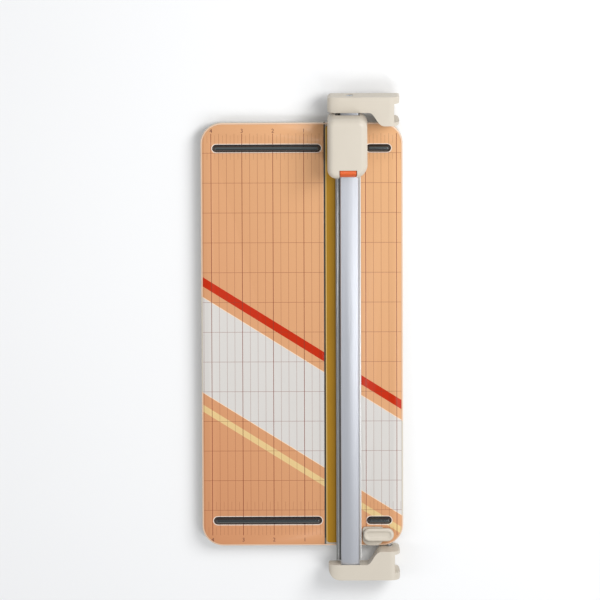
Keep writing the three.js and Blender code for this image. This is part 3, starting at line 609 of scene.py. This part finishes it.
def press_cap():
    """The carriage's shell: bowed sides, a crowned top, and cut-outs over the rail and the button."""
    low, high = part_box("press_cap")
    rings = []
    for inset, drop in reversed(list(edge_steps(CAP_EDGE, 12))):
        rings.append(pillow_ring(low, high, CAP_CORNERS, high.z - drop, inset, CAP_BULGE))
    rings.append(pillow_ring(low, high, CAP_CORNERS, low.z, 0.0, CAP_BULGE))
    inner_edge = CAP_EDGE - CAP_WALL
    rings.append(pillow_ring(low, high, CAP_CORNERS, low.z, CAP_WALL, CAP_BULGE))
    for inset, drop in edge_steps(inner_edge, 8):
        z = high.z - CAP_WALL - drop
        rings.append(pillow_ring(low, high, CAP_CORNERS, z, CAP_WALL + inset, CAP_BULGE))
    cap = skin("press_cap_shell", rings)
    button_low, button_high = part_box("release_button")
    clear = 0.3 * MM
    far = 60 * MM
    shelf_top = 36.2 * MM
    shelf_low = (button_low.x - 0.8 * MM, low.y + 1.2 * MM, shelf_top - 1.4 * MM)
    carve(cap, brick(shelf_low, (button_high.x + 0.8 * MM, button_high.y + 0.9 * MM, shelf_top)), "UNION")
    middle = (low.y + high.y) / 2
    for side in (-1, 1):
        x, y = middle_of("press_spring_rear").x, middle + side * 12 * MM
        carve(cap, rod((x, y, 41.8 * MM), (x, y, high.z - MM), 2.6 * MM), "UNION")
        screw = middle_of("holder_screw_rear" if side > 0 else "holder_screw_front")
        boss_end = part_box("blade_holder")[0].x - 0.1 * MM
        boss = rod((low.x + 1.4 * MM, screw.y, screw.z), (boss_end, screw.y, screw.z), 2.4 * MM)
        carve(cap, boss, "UNION")
        carve(cap, rod((22.2 * MM, screw.y, screw.z), (25 * MM, screw.y, screw.z), MM))
        catch = middle + side * 13 * MM
        hook_low = (high.x - 3.7 * MM, catch - 1.3 * MM, 27.2 * MM)
        carve(cap, brick(hook_low, (high.x - 1.5 * MM, catch + 1.3 * MM, 28.5 * MM)), "UNION")
    rail_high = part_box("rail_extrusion")[1]
    strip_low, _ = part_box("hold_down_strip")
    tunnel_high = (rail_high.x + 1.4 * MM, high.y + far, 31.6 * MM)
    carve(cap, brick((strip_low.x - clear, low.y - far, 0), tunnel_high))
    carve(cap, brick((rail_high.x + 1.2 * MM, low.y - far, 0), (high.x + far, high.y + far, 22.8 * MM)))
    opening_low = (button_low.x - clear, low.y - far, shelf_top)
    carve(cap, brick(opening_low, (button_high.x + clear, button_high.y + clear, high.z + far)))
    round_edges(cap, 0.4 * MM, 35)
    stand_for(cap, "press_cap")


press_cap()


# ---------------------------------------------------------------- button, latch and guides


def release_button():
    """The tab: a sloping thumb face with rounded edges."""
    low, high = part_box("release_button")
    depth = high.y - low.y
    profile = [(0, 0), (depth, 0), (depth, high.z - low.z), (3.4 * MM, high.z - low.z), (0, 1.8 * MM)]
    rings = [[(x, low.y + y, low.z + z) for y, z in profile] for x in (low.x, high.x)]
    tab = skin("release_tab", rings)
    round_edges(tab, 0.9 * MM, 20, 5)
    stand_for(tab, "release_button")


LATCH_UNDERSIDE = 15.3 * MM
LATCH_STEM_X = (57 * MM, 64 * MM)


def latch_button():
    """The slider: an oblong with a rolled edge and a long dished grip, on its stem."""
    low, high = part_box("latch_button")
    underside = LATCH_UNDERSIDE
    radius = (high.y - low.y) / 2 - 0.2 * MM
    corners = [radius] * 4
    rings = [pillow_ring(low, high, corners, underside, 0.3 * MM)]
    rings.append(pillow_ring(low, high, corners, underside + 0.3 * MM))
    edge = 1.5 * MM
    for inset, drop in edge_steps(edge, 8):
        rings.append(pillow_ring(low, high, corners, high.z - drop, inset))
    for inset, depth in ((2.1, 0.0), (2.5, 0.22), (3.0, 0.6), (3.6, 0.85), (4.4, 0.95)):
        rings.append(pillow_ring(low, high, corners, high.z - depth * MM, inset * MM))
    latch = skin("latch_slider", rings)
    left, right = LATCH_STEM_X
    y = (low.y + high.y) / 2
    stem = brick((left, y - 2.1 * MM, low.z), (right, y + 2.1 * MM, underside + 0.5 * MM))
    carve(latch, stem, "UNION")
    foot = brick((left, y - 3.6 * MM, low.z), (right, y + 3.6 * MM, low.z + 0.8 * MM))
    carve(latch, foot, "UNION")
    round_edges(latch, 0.15 * MM, 60)
    stand_for(latch, "latch_button")


def guide_bar(node):
    """A paper guide: a flange in its slot and a rounded, polished ridge."""
    low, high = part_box(node)
    flange_z = low.z + 1.7 * MM
    half = (high.y - low.y) / 2
    rings = []
    flange = [half - 0.02 * MM] * 4
    for inset, z in ((0, flange_z), (0, flange_z + 1.0 * MM), (0.2, flange_z + 1.2 * MM)):
        rings.append(pillow_ring(low, high, flange, z, inset * MM))
    ridge = 1.3 * MM
    edge = 1.5 * MM
    for inset, drop in edge_steps(edge, 10):
        rings.append(pillow_ring(low, high, flange, high.z - drop, ridge + inset))
    bar = skin(node + "_bar", rings)
    stand_for(bar, node)


release_button()
latch_button()
for guide in GUIDES:
    guide_bar(guide)


# ---------------------------------------------------------------- end brackets

HINGE_Z = middle_of("hinge_pin_front").z
HINGE_X = middle_of("hinge_pin_front").x


def quadratic(start, control, end, steps=12):
    for i in range(1, steps + 1):
        t = i / steps
        a, b, c = (1 - t) ** 2, 2 * t * (1 - t), t * t
        yield a * start[0] + b * control[0] + c * end[0], a * start[1] + b * control[1] + c * end[1]


def cubic(start, first, second, end, steps=20):
    for i in range(1, steps + 1):
        t = i / steps
        a, b, c, d = (1 - t) ** 3, 3 * t * (1 - t) ** 2, 3 * t * t * (1 - t), t**3
        yield tuple(a * p + b * q + c * r + d * s for p, q, r, s in zip(start, first, second, end))


# The brackets' distances from the middle of the bed along Y, for either end.
ARM_INNER = 192.8 * MM
ARM_OUTER = 205.9 * MM
HUB_INNER = 181.4 * MM
HUB_OUTER = 201.5 * MM
NOTCH_Y = (184.3 * MM, 200 * MM)
BEYOND = 210 * MM
ARM_UNDERSIDE = 14.6 * MM
HUB_RADIUS = 8 * MM
NOTCH_LEFT = 76 * MM
SOCKET_TOP = 28.3 * MM
# Bores along Y: (radius, start, end).
SCREW_BORES = [(1.7 * MM, 190 * MM, BEYOND), (3.3 * MM, 203.7 * MM, BEYOND)]
BUSH_BORE = (3.5 * MM, 180 * MM, 199 * MM)


def bracket(node, corner, curve_x):
    """An end bracket: its end view crossed with its plan, then bored, socketed and notched."""
    low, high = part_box(node)
    side = math.copysign(1, low.y)
    inner, hub, outer = side * ARM_INNER, side * HUB_INNER, side * ARM_OUTER
    left, right, top = low.x, high.x, high.z
    under = ARM_UNDERSIDE

    end_view = [(left, under + 2 * MM), (left, top - 6 * MM)]
    end_view += quadratic(end_view[-1], (left, top), (left + 11 * MM, top))
    end_view += [(right - 9 * MM, top)]
    end_view += quadratic(end_view[-1], (right, top), (right, top - 9 * MM))
    end_view += [(right - 0.4 * MM, 14 * MM)]
    for i in range(25):
        turn = -0.9 * math.pi * i / 24
        round_hub = (HUB_RADIUS * math.cos(turn), HUB_RADIUS * math.sin(turn))
        end_view.append((HINGE_X + round_hub[0], HINGE_Z + round_hub[1]))
    end_view += quadratic(end_view[-1], (HINGE_X - 9 * MM, under), (HINGE_X - 15 * MM, under))
    end_view += [(left + 2 * MM, under)]
    end_view += list(quadratic(end_view[-1], (left, under), (left, under + 2 * MM)))[:-1]
    ends = sorted((hub - side * 2 * MM, outer + side * 2 * MM))
    body = skin(node + "_arm", [[(x, y, z) for x, z in end_view] for y in ends])

    plan = [(left + 1.5 * MM, inner), (curve_x, inner)]
    plan += cubic(plan[-1], (curve_x + 5 * MM, inner), (curve_x + 6 * MM, hub), (curve_x + 13 * MM, hub))
    plan += [(right - 1.5 * MM, hub)]
    plan += quadratic(plan[-1], (right, hub), (right, hub + side * 1.5 * MM), 6)
    plan += [(right, outer - side * 2 * MM)]
    plan += quadratic(plan[-1], (right, outer), (right - 2 * MM, outer), 6)
    plan += [(left + corner, outer)]
    plan += quadratic(plan[-1], (left, outer), (left, outer - side * corner))
    plan += [(left, inner + side * 1.5 * MM)]
    plan += list(quadratic(plan[-1], (left, inner), plan[0], 6))[:-1]
    heights = (-2 * MM, top + 2 * MM)
    carve(body, skin("cutter", [[(x, y, z) for x, y in plan] for z in heights]), "INTERSECT")

    rail_low, rail_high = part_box("rail_extrusion")
    gap = 0.3 * MM
    socket = sorted((inner - side * 2 * MM, side * (rail_high.y + gap)))
    socket_high = (rail_high.x + gap, socket[1], SOCKET_TOP)
    carve(body, brick((rail_low.x - gap, socket[0], under - MM), socket_high))
    past = sorted((side * HUB_OUTER, side * BEYOND))
    carve(body, brick((HINGE_X - 20 * MM, past[0], -2 * MM), (HINGE_X + 20 * MM, past[1], under)))
    notch = sorted(side * y for y in NOTCH_Y)
    carve(body, brick((NOTCH_LEFT, notch[0], -2 * MM), (right + MM, notch[1], top + MM)))
    port = middle_of("rail_screw_front" if side < 0 else "rail_screw_rear")
    bores = [(RAIL_X, port.z, bore) for bore in SCREW_BORES] + [(HINGE_X, HINGE_Z, BUSH_BORE)]
    for x, z, (radius, start, end) in bores:
        carve(body, rod((x, side * start, z), (x, side * end, z), radius))
    round_edges(body, 1.1 * MM, 38, 5)
    stand_for(body, node)


bracket("bracket_front", 11 * MM, 52.5 * MM)
bracket("bracket_rear", 4 * MM, 55.5 * MM)


# ---------------------------------------------------------------- blade


def blade():
    """A finely turned disc with a ground edge on both sides."""
    low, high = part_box("blade")
    centre = (low + high) / 2
    radius = (high.z - low.z) / 2
    half = (high.x - low.x) / 2
    bore = 2.7 * MM
    profile = [(bore, -half), (radius - 1.4 * MM, -half), (radius, -0.03 * MM), (radius, 0.03 * MM)]
    profile += [(radius - 1.4 * MM, half), (bore, half)]
    count = 144
    points, faces = [], []
    for out, x in profile:
        for i in range(count):
            turn = 2 * math.pi * i / count
            points.append((centre.x + x, centre.y + out * math.cos(turn), centre.z + out * math.sin(turn)))
    for row in range(len(profile)):
        after = (row + 1) % len(profile)
        for i in range(count):
            j = (i + 1) % count
            faces.append((row * count + i, row * count + j, after * count + j, after * count + i))
    mesh = bpy.data.meshes.new("round_blade")
    mesh.from_pydata(points, [], faces)
    disc = link(bpy.data.objects.new("round_blade", mesh))
    stand_for(disc, "blade")


blade()


# ---------------------------------------------------------------- springs


def spring(node, wire, turns):
    """A coil with closed ends, rising from its seat."""
    low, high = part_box(node)
    centre = (low + high) / 2
    radius = (high.x - low.x) / 2 - wire
    flat = 0.6 / turns
    climb = (high.z - low.z - 2 * wire) / (1 - 2 * flat)
    steps = int(turns * 36)
    rings = []
    for i in range(steps + 1):
        share = i / steps
        turn = 2 * math.pi * turns * share
        out = Vector((math.cos(turn), math.sin(turn), 0))
        rise = min(max(share - flat, 0), 1 - 2 * flat) * climb
        sloping = climb if flat < share < 1 - flat else 0
        steepness = sloping / (2 * math.pi * turns * radius)
        along = Vector((-math.sin(turn), math.cos(turn), steepness)).normalized()
        over = along.cross(out)
        at = Vector((centre.x, centre.y, low.z + wire + rise)) + out * radius
        section = [2 * math.pi * k / 10 for k in range(10)]
        rings.append([at + out * wire * math.cos(a) + over * wire * math.sin(a) for a in section])
    coil = skin(node + "_coil", rings)
    stand_for(coil, node)
    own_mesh(coil)


spring("press_spring_front", 0.45 * MM, 6)
spring("press_spring_rear", 0.45 * MM, 6)
spring("button_spring", 0.25 * MM, 5)


# ---------------------------------------------------------------- printed numerals


def numerals():
    """The inch numerals at both ends of the ruling, as flat ink just above the panel."""
    for end, y in (("rear", 173.7 * MM), ("front", -175.4 * MM)):
        for inches in range(1, 5):
            curve = bpy.data.curves.new(f"numeral_{end}_{inches}", "FONT")
            curve.body = str(inches)
            curve.size = 4.7 * MM
            curve.align_x = "CENTER"
            curve.align_y = "CENTER"
            curve.extrude = 0.01 * MM
            ink = link(bpy.data.objects.new(f"numeral_{end}_{inches}", curve))
            ink.location = (CUT_X - inches * INCH, y, DECK_Z + 0.02 * MM)
            ink.data.materials.append(MATERIALS["numeral_ink"])
            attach(ink, "base")


numerals()


# ---------------------------------------------------------------- stage, light and camera


def stage():
    half = 3.0
    mesh = bpy.data.meshes.new("floor")
    corners = [(-half, -half, 0), (half, -half, 0), (half, half, 0), (-half, half, 0)]
    mesh.from_pydata(corners, [], [(0, 1, 2, 3)])
    floor = link(bpy.data.objects.new("floor", mesh))
    floor.data.materials.append(floor_material())


def area_light(name, location, target, size, power):
    data = bpy.data.lights.new(name, "AREA")
    data.shape = "RECTANGLE"
    data.size, data.size_y = size
    data.energy = power
    light = link(bpy.data.objects.new(name, data))
    light.location = location
    aim = Vector(target) - Vector(location)
    light.rotation_mode = "QUATERNION"
    light.rotation_quaternion = aim.to_track_quat("-Z", "Y")


def lighting():
    world = bpy.data.worlds.new("studio")
    world.use_nodes = True
    background = world.node_tree.nodes["Background"]
    background.inputs["Color"].default_value = (0.95, 0.97, 1.0, 1.0)
    background.inputs["Strength"].default_value = 0.5
    bpy.context.scene.world = world
    area_light("key", (0.75, 0.6, 1.05), (0, 0.05, 0), (0.5, 0.9), 13)
    area_light("fill", (-0.8, -0.1, 1.0), (0, 0, 0), (0.3, 0.9), 2)
    area_light("strip", (0.42, -0.3, 1.05), (0.05, 0, 0), (0.14, 0.9), 2.9)


# The camera is nearly overhead, tilted and turned a little, with a very long lens.
TILT = math.radians(15)
ROLL = math.radians(-0.2)
DISTANCE = 12.0
VIEW_WIDTH = 494.2 * MM
AIM = Vector((-1.7 * MM, 29.9 * MM, DECK_Z))


def camera():
    data = bpy.data.cameras.new("camera")
    data.sensor_width = 36
    data.lens = data.sensor_width * DISTANCE / VIEW_WIDTH
    data.clip_end = 30
    made = link(bpy.data.objects.new("camera", data))
    lean = Matrix.Translation(AIM) @ Matrix.Rotation(-TILT, 4, "X")
    back = Matrix.Translation((0, 0, DISTANCE))
    made.matrix_world = lean @ back @ Matrix.Rotation(ROLL, 4, "Z")
    bpy.context.scene.camera = made


stage()
lighting()
camera()
bpy.context.scene.view_settings.view_transform = "Standard"
